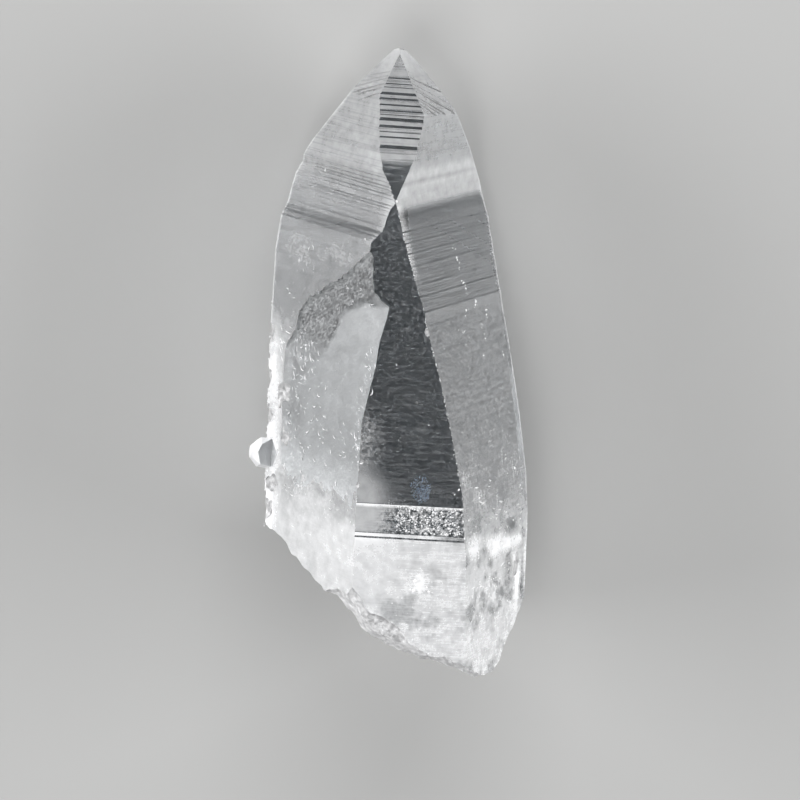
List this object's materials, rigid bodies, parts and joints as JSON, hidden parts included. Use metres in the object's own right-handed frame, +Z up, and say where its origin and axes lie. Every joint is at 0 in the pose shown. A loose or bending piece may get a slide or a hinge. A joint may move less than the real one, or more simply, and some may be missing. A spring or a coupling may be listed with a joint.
{
  "type": "quartz crystal point",
  "caption": "Clear quartz point lying on its back face: stepped side faces, sharp tip, growth scar, broken milky root and a small fused side crystal.",
  "frame": {"origin": "centre of the footprint's bounding box, on the surface that the back face lies on", "axes": "+Y along the crystal towards its tip, +Z up out of the front face, +X to the right of the front face seen with the tip at the top"},
  "size_m": [0.0552, 0.1164, 0.0449],
  "materials": {
    "quartz": "clear natural crystal, bright growth faces, satin scar and frosted white root"
  },
  "bodies": {
    "root": {"quartz_crystal": "quartz"}
  },
  "joints": []
}
